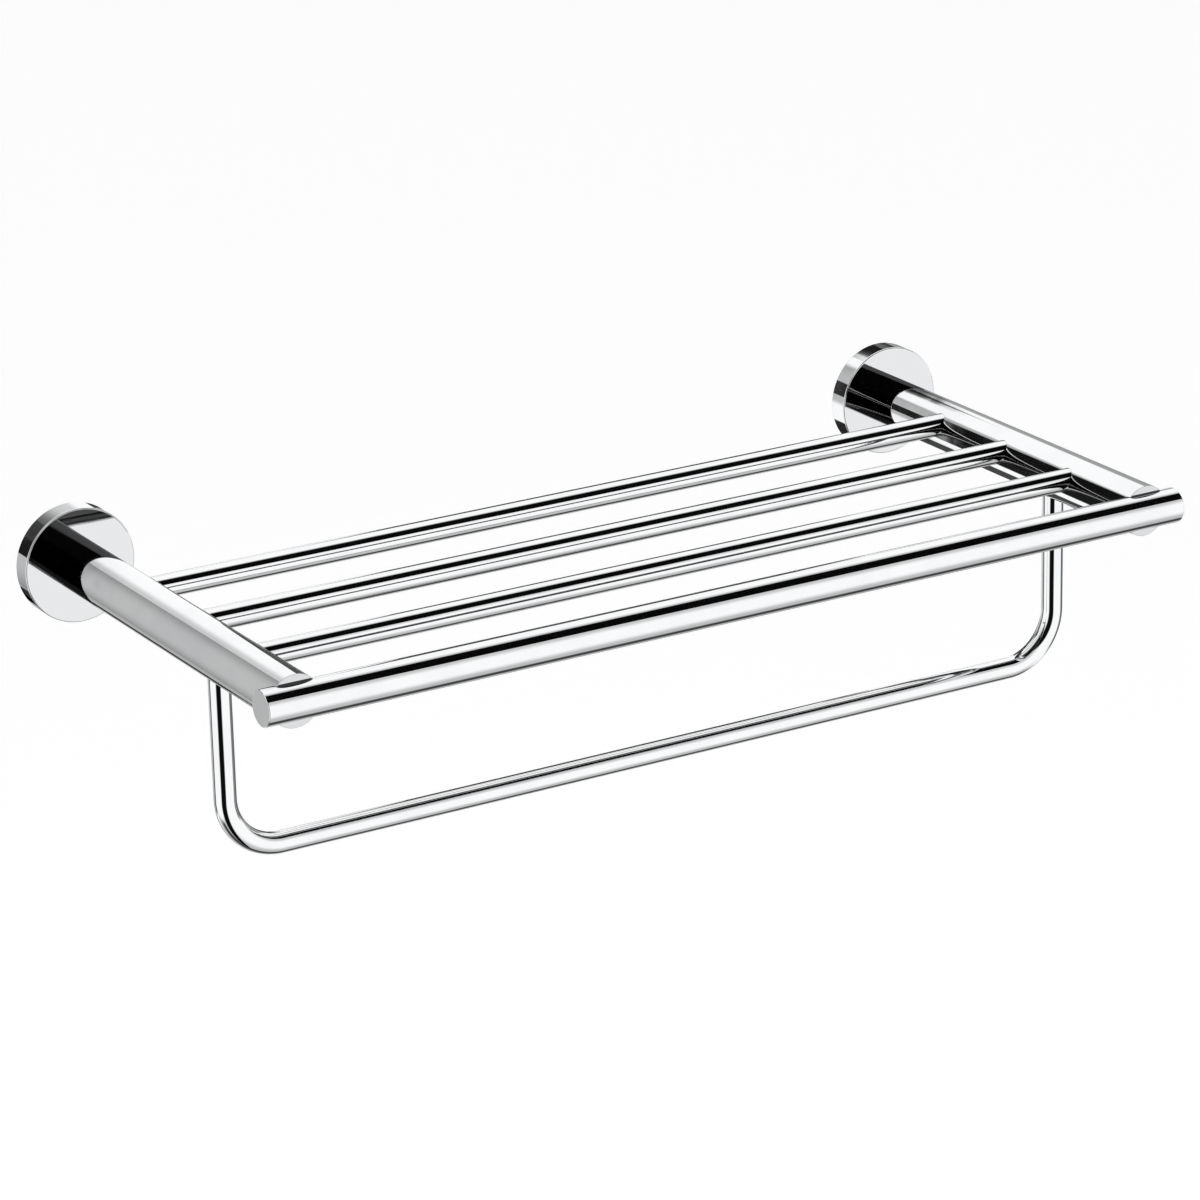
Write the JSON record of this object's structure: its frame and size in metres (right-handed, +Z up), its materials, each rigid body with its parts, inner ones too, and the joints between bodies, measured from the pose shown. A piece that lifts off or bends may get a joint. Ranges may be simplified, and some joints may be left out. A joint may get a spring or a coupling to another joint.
{
  "type": "towel rack with shelf",
  "caption": "Wall-hung chrome towel shelf: round arms on wall rosettes carry thin shelf rails and a thicker front rail set in the arm ends, with a U-bent towel bar hanging beneath.",
  "frame": {"origin": "on the wall surface, midway between the rosettes, at the height of the arm axes", "axes": "+X along the wall to the right as seen from the room, +Y into the wall, +Z up"},
  "size_m": [0.514, 0.2375, 0.1308],
  "materials": {
    "chrome": "polished chrome plating on brass",
    "zinc_plated_steel": "bright zinc-plated steel",
    "brass": "bare turned brass"
  },
  "bodies": {
    "root": {"wall_plate_left": "zinc_plated_steel", "rosette_left": "chrome", "set_screw_left": "zinc_plated_steel", "arm_bolt_washer_left": "zinc_plated_steel", "arm_bolt_left": "zinc_plated_steel", "arm_left": "chrome", "arm_plug_left": "brass", "front_rail_screw_left": "zinc_plated_steel", "front_rail_bush_left": "brass", "front_rail_cap_left": "chrome", "wall_plate_right": "zinc_plated_steel", "rosette_right": "chrome", "set_screw_right": "zinc_plated_steel", "arm_bolt_washer_right": "zinc_plated_steel", "arm_bolt_right": "zinc_plated_steel", "arm_right": "chrome", "arm_plug_right": "brass", "front_rail_screw_right": "zinc_plated_steel", "front_rail_bush_right": "brass", "front_rail_cap_right": "chrome", "shelf_rail_rear": "chrome", "shelf_rail_middle": "chrome", "shelf_rail_front": "chrome", "front_rail": "chrome", "towel_bar": "chrome"}
  },
  "joints": []
}
